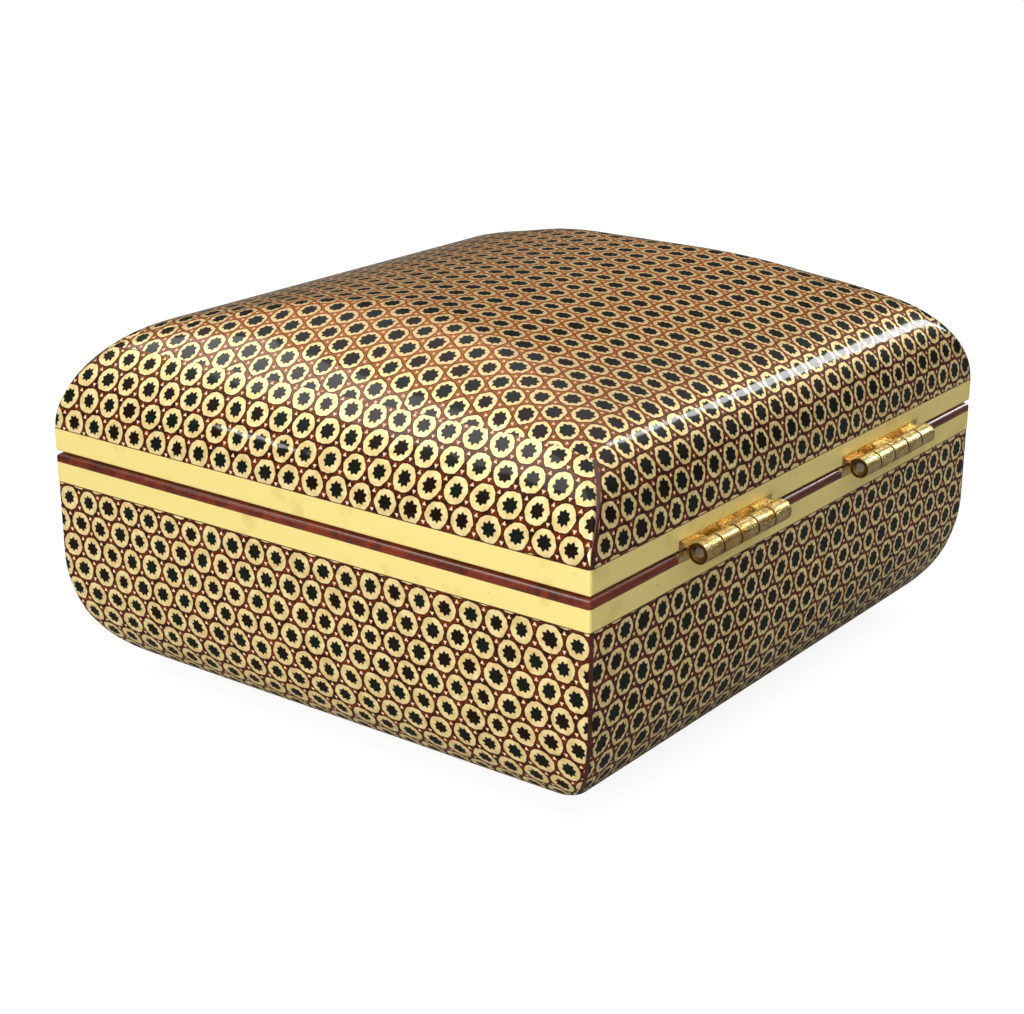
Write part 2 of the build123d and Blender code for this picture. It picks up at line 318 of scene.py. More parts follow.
def laid_sheet(name, columns, rows, surface, bare):
    """A sheet whose corners stand where surface(column, row) says, with the pattern's place kept in its map.

    columns and rows are the values to step through, and surface gives a point and the place on the pattern.
    bare(column, row) says whether the wood shows there, and those faces take the sheet's second material.
    """
    deselect()
    bpy.ops.mesh.primitive_grid_add(x_subdivisions=len(columns) - 1, y_subdivisions=len(rows) - 1, size=1)
    sheet = bpy.context.object
    sheet.name = name
    mesh = sheet.data
    mesh.uv_layers[0].name = "pattern"
    for polygon in mesh.polygons:
        column = int((polygon.center.x + 0.5) * (len(columns) - 1))
        row = int((polygon.center.y + 0.5) * (len(rows) - 1))
        middle = (columns[column] + columns[column + 1]) / 2, (rows[row] + rows[row + 1]) / 2
        polygon.material_index = int(bare(*middle))
    spots = []
    for vertex in mesh.vertices:
        column = round((vertex.co.x + 0.5) * (len(columns) - 1))
        row = round((vertex.co.y + 0.5) * (len(rows) - 1))
        place, spot = surface(columns[column], rows[row])
        vertex.co = place
        spots.append(spot)
    pattern = mesh.uv_layers["pattern"]
    for loop in mesh.loops:
        pattern.data[loop.index].uv = spots[loop.vertex_index]
    return sheet


def finish_sheet(sheet, outward, materials, body, node):
    """Gives a laid sheet its thickness and materials, and puts it in the place of its node."""
    mesh = sheet.data
    middle = mesh.polygons[len(mesh.polygons) // 2]
    if middle.normal.dot(Vector(outward)) < 0:
        mesh.flip_normals()
    kept = [polygon.material_index for polygon in mesh.polygons]
    for material in materials:
        mesh.materials.append(material)
    mesh.polygons.foreach_set("material_index", kept)
    deselect()
    sheet.select_set(True)
    bpy.context.view_layer.objects.active = sheet
    bpy.ops.object.mode_set(mode="EDIT")
    bpy.ops.mesh.select_all(action="SELECT")
    bpy.ops.mesh.remove_doubles(threshold=0.002 * mm)
    bpy.ops.object.mode_set(mode="OBJECT")
    wall = sheet.modifiers.new("wall", "SOLIDIFY")
    wall.thickness = skin
    wall.offset = -1
    wall.material_offset_rim = 1
    bpy.ops.object.modifier_apply(modifier="wall")
    bpy.ops.object.shade_smooth_by_angle(angle=radians(35))
    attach(sheet, body)
    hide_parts(node)


# Columns run from -1 to 1 across a sheet and crowd at its corners, and rows are distances from its band.  The
# crowded ones are given in millimetres from the corner.
from_corner = (7, 5, 3.4, 2.2, 1.4, 0.95, 0.7, 0.5, 0.3, 0.15, 0)
corner_steps = [1 - step * mm / (case_depth / 2) for step in from_corner]
across = [-step for step in reversed(corner_steps)] + steps(-0.84, 0.84, 0.04) + corner_steps
body_skin_length = body_straight + length_of(body_arcs)
body_rows = [0.0] + steps(glue_line, body_straight, 3.4 * mm)[:-1]
body_rows += steps(body_straight, body_skin_length, 1.1 * mm)


def body_end_surface(way):
    """Where the body's end sheet lies, on the left (-1) or the right (1)."""

    def surface(column, distance):
        inset, depth = body_fall(distance)
        y = column * (case_depth / 2 - inset)
        return body_point(way * (case_width / 2 - inset), y, depth), pattern_place("body_end", y, distance)

    return surface


def body_face_surface(way):
    """Where the body's front (-1) or back (1) sheet lies."""

    def surface(column, distance):
        inset, depth = body_fall(distance)
        x = column * (case_width / 2 - inset)
        return body_point(x, way * (case_depth / 2 - inset), depth), pattern_place("body_face", x, distance)

    return surface


def lid_end_surface(way):
    """Where the lid's end sheet lies, from the band up to the seam."""

    def surface(column, distance):
        inset, rise, _ = follow(end_section, distance)
        y = column * (case_depth / 2 - reach(face_section, rise)[0])
        return lid_point(way * (case_width / 2 - inset), y, rise), pattern_place("lid_end", y, distance)

    return surface


seam_distance = reach(end_section, lid_seam_rise)[1]
face_length = length_of(face_section)
face_seam_distance = reach(face_section, lid_seam_rise)[1]
drape_start = 0.75


def lid_top_surface(column, distance):
    """Where the lid's top sheet lies: up the back, over the crown and down the front.

    Columns from -1 to 1 run along a row.  The outer quarter on each side drapes over the end's shoulder.
    """
    way = 1 if distance <= face_length else -1
    inset, rise, _ = follow(face_section, min(distance, 2 * face_length - distance))
    y = way * (case_depth / 2 - inset)
    side = 1 if column > 0 else -1
    part = abs(column)
    hip_inset, hip_distance = reach(end_section, rise)
    hip = case_width / 2 - hip_inset
    if part <= drape_start or rise < lid_seam_rise - 1e-7:
        x = side * hip * min(1.0, part / drape_start)
        return lid_point(x, y, rise), pattern_place("lid_top", x, distance)
    drape = (part - drape_start) / (1 - drape_start) * (hip_distance - seam_distance)
    drape_inset, drape_rise, _ = follow(end_section, hip_distance - drape)
    x = side * (case_width / 2 - drape_inset)
    return lid_point(x, y, drape_rise), pattern_place("lid_top", side * (hip + drape), distance)


def bare_end(column, distance):
    """Whether the wood of an end sheet shows, which is along its glue line only."""
    return distance < glue_line


def bare_face(column, distance):
    """Whether wood shows on a front or back sheet: at the glue line, and beside an end sheet's edge."""
    return distance < glue_line or abs(column) > bare_edge


def bare_lid_face(column, distance):
    """The same for the lid's top sheet, which has end sheets beside it only below their seam."""
    climbed = min(distance, 2 * face_length - distance)
    return climbed < glue_line or (climbed < face_seam_distance and abs(column) > bare_edge * drape_start)


# Velvet and felt

def rounded_steps(half, edge):
    """Places across a soft slab, close together at its rounded edges."""
    fine = [half - edge * share for share in (0, 0.03, 0.12, 0.27, 0.47, 0.7, 1.0)]
    coarse = steps(0, fine[-1], 3.0 * mm)[:-1]
    positive = coarse[1:] + fine[::-1]
    return [-value for value in reversed(positive)] + [0.0] + positive


def soft_slab(name, centre, right, up, size, crown, edge, pull, material):
    """A closed soft form, lying on its back at a centre: flat behind, rounded at its edges, crowned in front.

    right and up are the directions of its width and length, size is its width, length and thickness, and its
    sides pull in a little between the corners.
    """
    width, length, thickness = size
    out = Vector(right).cross(Vector(up))
    across_slab = rounded_steps(width / 2, edge)
    along_slab = rounded_steps(length / 2, edge)
    deselect()
    x_count, y_count = len(across_slab) - 1, len(along_slab) - 1
    bpy.ops.mesh.primitive_grid_add(x_subdivisions=x_count, y_subdivisions=y_count, size=1)
    slab = bpy.context.object
    slab.name = name
    for vertex in slab.data.vertices:
        x = across_slab[round((vertex.co.x + 0.5) * x_count)]
        y = along_slab[round((vertex.co.y + 0.5) * y_count)]
        margin = max(0.0, min(width / 2 - abs(x), length / 2 - abs(y)))
        rounding = sqrt(max(0.0, 1 - (1 - min(1.0, margin / edge)) ** 2))
        swelling = (1 - (2 * x / width) ** 2) * (1 - (2 * y / length) ** 2)
        rise = (thickness - crown) * rounding + crown * swelling
        x *= 1 - 2 * pull / width * (1 - (2 * y / length) ** 2) * (2 * x / width) ** 6
        y *= 1 - 2 * pull / length * (1 - (2 * x / width) ** 2) * (2 * y / length) ** 6
        vertex.co = Vector(centre) + Vector(right) * x + Vector(up) * y + out * rise
    form = bmesh.new()
    form.from_mesh(slab.data)
    bmesh.ops.holes_fill(form, edges=[side for side in form.edges if side.is_boundary])
    bmesh.ops.recalc_face_normals(form, faces=form.faces)
    form.to_mesh(slab.data)
    form.free()
    slab.data.materials.append(material)
    deselect()
    slab.select_set(True)
    bpy.context.view_layer.objects.active = slab
    bpy.ops.object.shade_smooth_by_angle(angle=radians(50))
    return slab


# Lights and the white surroundings

wall_light = 0.06
ceiling_light = 1.2
wall_height = 0.45
ceiling_height = 0.8
box_middle = (0.0, 0.0, 40 * mm)


def white_room():
    """A room that the camera sees white, and whose pale ceiling and dim walls light the box."""
    world = bpy.data.worlds.new("room")
    bpy.context.scene.world = world
    world.use_nodes = True
    tree = world.node_tree
    direction = put(tree, "ShaderNodeTexCoord")
    height = put(tree, "ShaderNodeSeparateXYZ", [("Vector", direction.outputs["Generated"])])
    levels = [("From Min", wall_height), ("From Max", ceiling_height)]
    levels += [("To Min", wall_light), ("To Max", ceiling_light)]
    glow = put(tree, "ShaderNodeMapRange", [("Value", height.outputs["Z"]), *levels])
    rays = put(tree, "ShaderNodeLightPath")
    strength = put(
        tree,
        "ShaderNodeMix",
        [("Factor", rays.outputs["Is Camera Ray"]), (2, glow.outputs["Result"]), (3, 1.0)],
    )
    background = tree.nodes["Background"]
    background.inputs["Color"].default_value = (1, 1, 1, 1)
    tree.links.new(strength.outputs[0], background.inputs["Strength"])


def around(azimuth, elevation, distance):
    """A place seen from the box at an azimuth, from +X towards +Y, and an elevation, in degrees."""
    level = cos(radians(elevation)) * distance
    height = box_middle[2] + sin(radians(elevation)) * distance
    return level * cos(radians(azimuth)), level * sin(radians(azimuth)), height


def softbox(name, place, aim, width, height, power):
    """A soft rectangular lamp at a place, turned to its aim."""
    deselect()
    bpy.ops.object.light_add(type="AREA", location=place)
    lamp = bpy.context.object
    lamp.name = name
    lamp.data.shape = "RECTANGLE"
    lamp.data.size = width
    lamp.data.size_y = height
    lamp.data.energy = power
    lamp.rotation_euler = (Vector(aim) - Vector(place)).to_track_quat("-Z", "Y").to_euler()


# Materials

def wandering_place(tree, block):
    """The place on the block, in star pitches, of rows that wander a little as handwork does."""
    wander = put(
        tree,
        "ShaderNodeTexNoise",
        [("Vector", block), ("Scale", 0.11), ("Detail", 1.0)],
        noise_dimensions="2D",
    )
    middle = (0.5, 0.5, 0.5)
    centred = put(
        tree, "ShaderNodeVectorMath", [(0, wander.outputs["Color"]), (1, middle)], operation="SUBTRACT"
    )
    drift = put(tree, "ShaderNodeVectorMath", [(0, centred.outputs[0]), ("Scale", 0.9)], operation="SCALE")
    shaken = put(tree, "ShaderNodeVectorMath", [(0, block), (1, drift.outputs[0])], operation="ADD")
    place = put(
        tree, "ShaderNodeVectorMath", [(0, shaken.outputs[0]), ("Scale", mm / star_pitch)], operation="SCALE"
    )
    return place.outputs[0]


def nearest_star(tree, place):
    """The offset from the nearest star of two interlaced grids, and three chances of that star's own."""
    half_cell = (0.5, row_share, 1.0)
    low_cell = (-0.5, -row_share, -1.0)
    moved = put(tree, "ShaderNodeVectorMath", [(0, place), (1, half_cell)], operation="ADD")
    offsets = []
    distances = []
    for start in (place, moved.outputs[0]):
        wrapped = put(
            tree, "ShaderNodeVectorMath", [(0, start), (1, half_cell), (2, low_cell)], operation="WRAP"
        )
        flat = put(
            tree, "ShaderNodeVectorMath", [(0, wrapped.outputs[0]), (1, (1, 1, 0))], operation="MULTIPLY"
        )
        distance = put(tree, "ShaderNodeVectorMath", [(0, flat.outputs[0])], operation="LENGTH")
        offsets.append(flat.outputs[0])
        distances.append(distance.outputs["Value"])
    second_nearer = put(tree, "ShaderNodeMath", [(0, distances[1]), (1, distances[0])], operation="LESS_THAN")
    offset = put(
        tree,
        "ShaderNodeMix",
        [("Factor", second_nearer.outputs[0]), (4, offsets[0]), (5, offsets[1])],
        data_type="VECTOR",
    ).outputs[1]

    centre = put(tree, "ShaderNodeVectorMath", [(0, place), (1, offset)], operation="SUBTRACT")
    counted = put(
        tree,
        "ShaderNodeVectorMath",
        [(0, centre.outputs[0]), (1, (2.0, 2.0 / row_share, 0.0))],
        operation="MULTIPLY",
    )
    half = (0.5, 0.5, 0.0)
    nudged = put(tree, "ShaderNodeVectorMath", [(0, counted.outputs[0]), (1, half)], operation="ADD")
    number = put(tree, "ShaderNodeVectorMath", [(0, nudged.outputs[0])], operation="FLOOR")
    chance = put(tree, "ShaderNodeTexWhiteNoise", [("Vector", number.outputs[0])], noise_dimensions="3D")
    chances = put(tree, "ShaderNodeSeparateColor", [("Color", chance.outputs["Color"])])
    return offset, chances.outputs


def about_star(tree, offset):
    """The distance and bearing from the star, and the offset's two parts folded into a sixth of the ring."""
    parts = put(tree, "ShaderNodeSeparateXYZ", [("Vector", offset)])
    far = put(tree, "ShaderNodeVectorMath", [(0, offset)], operation="LENGTH").outputs["Value"]
    bearing = put(
        tree, "ShaderNodeMath", [(0, parts.outputs["Y"]), (1, parts.outputs["X"])], operation="ARCTAN2"
    ).outputs[0]
    sixth = put(tree, "ShaderNodeMath", [(0, bearing), (1, radians(60)), (2, 0.0)], operation="WRAP")
    lean = put(tree, "ShaderNodeMath", [(0, sixth.outputs[0]), (1, radians(30))], operation="SUBTRACT")
    folded = []
    for operation in ("COSINE", "SINE"):
        share = put(tree, "ShaderNodeMath", [(0, lean.outputs[0])], operation=operation)
        part = put(tree, "ShaderNodeMath", [(0, far), (1, share.outputs[0])], operation="MULTIPLY")
        folded.append(part.outputs[0])
    return far, bearing, folded[0], folded[1]


def ring_masks(tree, far, toward, fray, ring_reach, ring_flatness):
    """Where the ring lies, and where it or the dark line round it lies.

    The ring is a hexagon rounded at its corners, which point at its six neighbours.
    """
    roundness = put(tree, "ShaderNodeMath", [(0, far), (1, 1 - ring_flatness)], operation="MULTIPLY")
    hexagon = put(
        tree,
        "ShaderNodeMath",
        [(0, toward), (1, ring_flatness), (2, roundness.outputs[0])],
        operation="MULTIPLY_ADD",
    )
    frayed = put(tree, "ShaderNodeMath", [(0, hexagon.outputs[0]), (1, fray)], operation="ADD")
    masks = []
    for limit in (ring_reach, ring_reach + outline_width):
        mask = put(
            tree,
            "ShaderNodeMapRange",
            [("Value", frayed.outputs[0]), ("From Min", limit + crisp), ("From Max", limit - crisp)],
        )
        masks.append(mask.outputs["Result"])
    return masks


def star_mask(tree, far, bearing, chances, fray, valley, tip):
    """Where the star lies: eight short points, turned and grown a little differently each time."""
    turned = put(
        tree, "ShaderNodeMath", [(0, bearing), (1, 8 / (2 * pi)), (2, chances[0])], operation="MULTIPLY_ADD"
    )
    zigzag = put(tree, "ShaderNodeMath", [(0, turned.outputs[0]), (1, 0.5)], operation="PINGPONG")
    point = put(
        tree,
        "ShaderNodeMapRange",
        [("Value", zigzag.outputs[0]), ("From Max", 0.5), ("To Min", valley), ("To Max", tip)],
    )
    growth = put(tree, "ShaderNodeMapRange", [("Value", chances[1]), ("To Min", 0.92), ("To Max", 1.06)])
    grown = put(
        tree,
        "ShaderNodeMath",
        [(0, point.outputs["Result"]), (1, growth.outputs["Result"])],
        operation="MULTIPLY",
    )
    edge = put(tree, "ShaderNodeMath", [(0, grown.outputs[0]), (1, fray)], operation="ADD")
    past_edge = put(tree, "ShaderNodeMath", [(0, far), (1, edge.outputs[0])], operation="SUBTRACT")
    mask = put(
        tree,
        "ShaderNodeMapRange",
        [("Value", past_edge.outputs[0]), ("From Min", star_softness), ("From Max", -star_softness)],
    )
    return mask.outputs["Result"]


def chip_mask(tree, toward, aside):
    """Where the bone chip lies: a small triangle in the middle of each triangle, pointing the other way."""
    out = put(tree, "ShaderNodeMath", [(0, toward), (1, triangle_middle)], operation="SUBTRACT").outputs[0]
    sideways = put(tree, "ShaderNodeMath", [(0, aside)], operation="ABSOLUTE")
    slant = put(tree, "ShaderNodeMath", [(0, sideways.outputs[0]), (1, row_share)], operation="MULTIPLY")
    leaning = put(
        tree, "ShaderNodeMath", [(0, out), (1, -0.5), (2, slant.outputs[0])], operation="MULTIPLY_ADD"
    )
    outermost = put(tree, "ShaderNodeMath", [(0, leaning.outputs[0]), (1, out)], operation="MAXIMUM")
    high, low = chip_reach + crisp, chip_reach - crisp
    mask = put(
        tree, "ShaderNodeMapRange", [("Value", outermost.outputs[0]), ("From Min", high), ("From Max", low)]
    )
    return mask.outputs["Result"]


def khatam_woods(tree, block, star_chance):
    """The colours of the dyed wood, the rings and the stars.

    The dyed wood and the rings are painted paler and more orange on the crown than on the sides below:
    painted light from the lamp above.
    """
    grain = put(
        tree,
        "ShaderNodeTexNoise",
        [("Vector", block), ("Scale", 0.5), ("Detail", 3.0)],
        noise_dimensions="2D",
    ).outputs[0]
    coords = put(tree, "ShaderNodeTexCoord").outputs["Object"]
    height = put(tree, "ShaderNodeSeparateXYZ", [("Vector", coords)]).outputs["Z"]
    # Painted light: a share that rises from 0 to 1 up the crown, between 55 and 68 mm, and lightens the
    # crown's colours
    crown_light_share = put(
        tree, "ShaderNodeMapRange", [("Value", height), ("From Min", 55 * mm), ("From Max", 68 * mm)]
    ).outputs["Result"]

    # Two shades each, by the grain or by a star's chance: dyed wood, brassy rings and ebony
    shades = []
    for factor, low, low_colour, high, high_colour in (
        (grain, 0.36, "#280C02", 0.66, "#6A2807"),
        (grain, 0.35, "#E2C584", 0.65, "#F6DFA2"),
        (star_chance, 0.3, "#0C150D", 0.75, "#170A03"),
    ):
        ramp = put(tree, "ShaderNodeValToRGB", [("Fac", factor)])
        ramp.color_ramp.elements[0].position = low
        ramp.color_ramp.elements[0].color = linear(low_colour)
        ramp.color_ramp.elements[1].position = high
        ramp.color_ramp.elements[1].color = linear(high_colour)
        shades.append(ramp.outputs["Color"])
    dyed, brassy, ebony = shades

    # Painted light: the dyed wood and the rings are mixed towards paler, more orange colours on the crown, as
    # the lamp above lights it
    crown_lit = []
    for own_colour, pale in ((dyed, "#AC601E"), (brassy, "#F0CA90")):
        mixed = put(
            tree, "ShaderNodeMix", [("Factor", crown_light_share), (6, own_colour), (7, linear(pale))], data_type="RGBA"
        )
        crown_lit.append(mixed.outputs[2])
    return crown_lit[0], crown_lit[1], ebony


def khatam_marquetry(name, ring_reach, ring_flatness, star_valley, star_tip):
    """Persian khatam: triangular sticks of bone, ebony, dyed wood and brass, glued, sliced and lacquered.

    The eye sees brassy rings round dark stars, with red-brown triangles between them, each with a bone chip.
    The reaches are parts of the pitch, and the flatness says how much a ring looks like a hexagon.
    """
    material, tree, shader = new_material(name)
    block = put(tree, "ShaderNodeUVMap", uv_map="pattern").outputs["UV"]
    place = wandering_place(tree, block)
    offset, chances = nearest_star(tree, place)
    far, bearing, toward, aside = about_star(tree, offset)

    # The saw frays the edges a little
    frays = put(
        tree,
        "ShaderNodeTexNoise",
        [("Vector", place), ("Scale", 6.0), ("Detail", 2.0)],
        noise_dimensions="2D",
    )
    spread = [("From Min", 0.3), ("From Max", 0.7), ("To Min", -fray_depth), ("To Max", fray_depth)]
    fray = put(tree, "ShaderNodeMapRange", [("Value", frays.outputs[0]), *spread]).outputs["Result"]
    in_ring, in_outline = ring_masks(tree, far, toward, fray, ring_reach, ring_flatness)
    in_star = star_mask(tree, far, bearing, chances, fray, star_valley, star_tip)
    in_chip = chip_mask(tree, toward, aside)

    # Each layer lies over the ones before it
    colour, ring_colour, ebony = khatam_woods(tree, block, chances[2])
    bone = linear("#E6C09A")
    dark_glue = linear("#160702")
    layers = ((in_chip, bone), (in_outline, dark_glue), (in_ring, ring_colour), (in_star, ebony))
    for mask, layer in layers:
        laid = put(tree, "ShaderNodeMix", [("Factor", mask), (6, colour), (7, layer)], data_type="RGBA")
        colour = laid.outputs[2]
    tree.links.new(colour, shader.inputs["Base Color"])

    # The rings are sliced brass sticks set among bone, so they shine a little like metal
    ring = put(tree, "ShaderNodeMath", [(0, in_ring), (1, in_star)], operation="SUBTRACT", use_clamp=True)
    brass_share = put(tree, "ShaderNodeMath", [(0, ring.outputs[0]), (1, 0.45)], operation="MULTIPLY")
    tree.links.new(brass_share.outputs[0], shader.inputs["Metallic"])
    shader.inputs["Roughness"].default_value = 0.4
    shader.inputs["Specular IOR Level"].default_value = 0.06
    shader.inputs["Coat Weight"].default_value = 0.7
    shader.inputs["Coat IOR"].default_value = 1.33
    shader.inputs["Coat Roughness"].default_value = 0.05

    # Brushed lacquer: long soft swells a few millimetres across
    swell = put(
        tree,
        "ShaderNodeTexNoise",
        [("Vector", block), ("Scale", 0.16), ("Detail", 2.0)],
        noise_dimensions="2D",
    )
    bump = put(
        tree, "ShaderNodeBump", [("Strength", 0.35), ("Distance", 0.12 * mm), ("Height", swell.outputs[0])]
    )
    tree.links.new(bump.outputs["Normal"], shader.inputs["Coat Normal"])
    return material


def bare_wood(name, pale, dark, roughness, lacquer):
    """Wood with long grain: fine pores and soft bands, drawn out along its length."""
    material, tree, shader = new_material(name)
    coords = put(tree, "ShaderNodeTexCoord").outputs["Object"]
    drawn_out = put(tree, "ShaderNodeMapping", [("Vector", coords), ("Scale", (120, 620, 620))])
    pores = put(
        tree,
        "ShaderNodeTexNoise",
        [("Vector", drawn_out.outputs[0]), ("Scale", 2.2), ("Detail", 4.0), ("Distortion", 0.4)],
    )
    bands = put(
        tree,
        "ShaderNodeTexNoise",
        [("Vector", drawn_out.outputs[0]), ("Scale", 0.35), ("Detail", 2.0), ("Distortion", 1.2)],
    )
    band_part = put(tree, "ShaderNodeMath", [(0, bands.outputs[0]), (1, 0.55)], operation="MULTIPLY")
    grain = put(
        tree,
        "ShaderNodeMath",
        [(0, pores.outputs[0]), (1, 0.45), (2, band_part.outputs[0])],
        operation="MULTIPLY_ADD",
    )
    shades = put(tree, "ShaderNodeValToRGB", [("Fac", grain.outputs[0])])
    shades.color_ramp.elements[0].position = 0.36
    shades.color_ramp.elements[0].color = linear(dark)
    shades.color_ramp.elements[1].position = 0.64
    shades.color_ramp.elements[1].color = linear(pale)
    tree.links.new(shades.outputs["Color"], shader.inputs["Base Color"])
    dull = put(
        tree,
        "ShaderNodeMapRange",
        [("Value", pores.outputs[0]), ("To Min", roughness + 0.12), ("To Max", roughness - 0.08)],
    )
    tree.links.new(dull.outputs["Result"], shader.inputs["Roughness"])
    bump = put(
        tree, "ShaderNodeBump", [("Strength", 0.4), ("Distance", 0.05 * mm), ("Height", pores.outputs[0])]
    )
    tree.links.new(bump.outputs["Normal"], shader.inputs["Normal"])
    shader.inputs["Coat Weight"].default_value = lacquer
    shader.inputs["Coat Roughness"].default_value = 0.12
    return material


def strip_brass(name, bright, tarnished, roughness, metal):
    """Brass under old lacquer: fine rubbed lines, and browner specks and smears where it has tarnished."""
    material, tree, shader = new_material(name)
    coords = put(tree, "ShaderNodeTexCoord").outputs["Object"]
    rubbed = put(tree, "ShaderNodeMapping", [("Vector", coords), ("Scale", (90, 90, 2600))])
    lines = put(tree, "ShaderNodeTexNoise", [("Vector", rubbed.outputs[0]), ("Scale", 1.0), ("Detail", 3.0)])
    smears = put(tree, "ShaderNodeTexNoise", [("Vector", coords), ("Scale", 130.0), ("Detail", 4.0)])
    specks = put(tree, "ShaderNodeTexNoise", [("Vector", coords), ("Scale", 1100.0), ("Detail", 2.0)])
    worn_parts = []
    for noise, start, share in ((smears, 0.56, 0.5), (specks, 0.7, 0.4)):
        spread = [("From Min", start), ("From Max", 0.78), ("To Max", share)]
        part = put(tree, "ShaderNodeMapRange", [("Value", noise.outputs[0]), *spread])
        worn_parts.append((len(worn_parts), part.outputs["Result"]))
    worn = put(tree, "ShaderNodeMath", worn_parts, operation="MAXIMUM")
    colour = put(
        tree,
        "ShaderNodeMix",
        [("Factor", worn.outputs[0]), (6, linear(bright)), (7, linear(tarnished))],
        data_type="RGBA",
    )
    tree.links.new(colour.outputs[2], shader.inputs["Base Color"])
    sheen = put(
        tree,
        "ShaderNodeMapRange",
        [("Value", lines.outputs[0]), ("To Min", roughness - 0.1), ("To Max", roughness + 0.1)],
    )
    tree.links.new(sheen.outputs["Result"], shader.inputs["Roughness"])
    bump = put(
        tree, "ShaderNodeBump", [("Strength", 0.5), ("Distance", 0.01 * mm), ("Height", lines.outputs[0])]
    )
    tree.links.new(bump.outputs["Normal"], shader.inputs["Normal"])
    shader.inputs["Metallic"].default_value = metal
    return material


def knuckle_joints(tree, along):
    """Where one knuckle meets the next, from the place along X."""
    right_hinge = put(tree, "ShaderNodeMath", [(0, along), (1, 0.0)], operation="GREATER_THAN")
    as_left = put(
        tree,
        "ShaderNodeMath",
        [(0, right_hinge.outputs[0]), (1, -hinge_apart), (2, along)],
        operation="MULTIPLY_ADD",
    )
    wrapped = put(
        tree,
        "ShaderNodeMath",
        [(0, as_left.outputs[0]), (1, left_hinge), (2, left_hinge + knuckle_pitch)],
        operation="WRAP",
    )
    joint = left_hinge + knuckle_pitch / 2  # The middle knuckle is centred, so it ends half a pitch away
    from_joint = put(tree, "ShaderNodeMath", [(0, wrapped.outputs[0]), (1, joint)], operation="SUBTRACT")
    distance = put(tree, "ShaderNodeMath", [(0, from_joint.outputs[0])], operation="ABSOLUTE")
    line = put(
        tree,
        "ShaderNodeMapRange",
        [("Value", distance.outputs[0]), ("From Min", 0.34 * mm), ("From Max", 0.16 * mm)],
    )
    return line.outputs["Result"]


def chased_marks(tree, coords):
    """Short strokes along a barrel, crowded into patches."""
    stretched = put(tree, "ShaderNodeMapping", [("Vector", coords), ("Scale", (650, 1900, 1900))])
    cells = put(
        tree,
        "ShaderNodeTexVoronoi",
        [("Vector", stretched.outputs[0]), ("Scale", 1.0)],
        feature="DISTANCE_TO_EDGE",
    )
    strokes = put(
        tree,
        "ShaderNodeMapRange",
        [("Value", cells.outputs["Distance"]), ("From Min", 0.1), ("From Max", 0.03)],
    )
    clouds = put(tree, "ShaderNodeTexNoise", [("Vector", coords), ("Scale", 380.0), ("Detail", 1.0)])
    patches = put(
        tree,
        "ShaderNodeMapRange",
        [("Value", clouds.outputs[0]), ("From Min", 0.42), ("From Max", 0.55), ("To Max", 0.6)],
    )
    marks = put(
        tree,
        "ShaderNodeMath",
        [(0, strokes.outputs["Result"]), (1, patches.outputs["Result"])],
        operation="MULTIPLY",
    )
    return marks.outputs[0]


def engraved_brass():
    """Rolled hinge brass: bright gold, with chased marks on the knuckles and dark lines at their joints."""
    material, tree, shader = new_material("engraved hinge brass")
    coords = put(tree, "ShaderNodeTexCoord").outputs["Object"]
    place = put(tree, "ShaderNodeSeparateXYZ", [("Vector", coords)])
    deepest = put(
        tree,
        "ShaderNodeMath",
        [(0, chased_marks(tree, coords)), (1, knuckle_joints(tree, place.outputs["X"]))],
        operation="MAXIMUM",
    )
    on_knuckle = put(
        tree,
        "ShaderNodeMapRange",
        [("Value", place.outputs["Y"]), ("From Min", barrel_start), ("From Max", barrel_start + 0.3 * mm)],
    )
    cut = put(
        tree,
        "ShaderNodeMath",
        [(0, deepest.outputs[0]), (1, on_knuckle.outputs["Result"])],
        operation="MULTIPLY",
    ).outputs[0]

    smears = put(tree, "ShaderNodeTexNoise", [("Vector", coords), ("Scale", 260.0), ("Detail", 3.0)])
    golds = put(tree, "ShaderNodeValToRGB", [("Fac", smears.outputs[0])])
    golds.color_ramp.elements[0].position = 0.35
    golds.color_ramp.elements[0].color = linear("#D9AC58")
    golds.color_ramp.elements[1].position = 0.6
    golds.color_ramp.elements[1].color = linear("#F6DE9A")
    colour = put(
        tree,
        "ShaderNodeMix",
        [("Factor", cut), (6, golds.outputs["Color"]), (7, linear("#4A2C0C"))],
        data_type="RGBA",
    )
    tree.links.new(colour.outputs[2], shader.inputs["Base Color"])
    rough = put(tree, "ShaderNodeMapRange", [("Value", cut), ("To Min", 0.24), ("To Max", 0.5)])
    tree.links.new(rough.outputs["Result"], shader.inputs["Roughness"])
    bump = put(
        tree, "ShaderNodeBump", [("Strength", 0.7), ("Distance", 0.05 * mm), ("Height", cut)], invert=True
    )
    tree.links.new(bump.outputs["Normal"], shader.inputs["Normal"])
    shader.inputs["Metallic"].default_value = 0.85
    return material


def drawn_steel():
    """Bright steel wire, with the die's lines along it."""
    material, tree, shader = new_material("drawn steel wire")
    coords = put(tree, "ShaderNodeTexCoord").outputs["Object"]
    drawn = put(tree, "ShaderNodeMapping", [("Vector", coords), ("Scale", (60, 4000, 4000))])
    lines = put(tree, "ShaderNodeTexNoise", [("Vector", drawn.outputs[0]), ("Scale", 1.0), ("Detail", 2.0)])
    shades = put(tree, "ShaderNodeValToRGB", [("Fac", lines.outputs[0])])
    shades.color_ramp.elements[0].color = linear("#77737A")
    shades.color_ramp.elements[1].color = linear("#C6C2C6")
    tree.links.new(shades.outputs["Color"], shader.inputs["Base Color"])
    bump = put(
        tree, "ShaderNodeBump", [("Strength", 0.4), ("Distance", 0.01 * mm), ("Height", lines.outputs[0])]
    )
    tree.links.new(bump.outputs["Normal"], shader.inputs["Normal"])
    shader.inputs["Metallic"].default_value = 1.0
    shader.inputs["Roughness"].default_value = 0.3
    return material


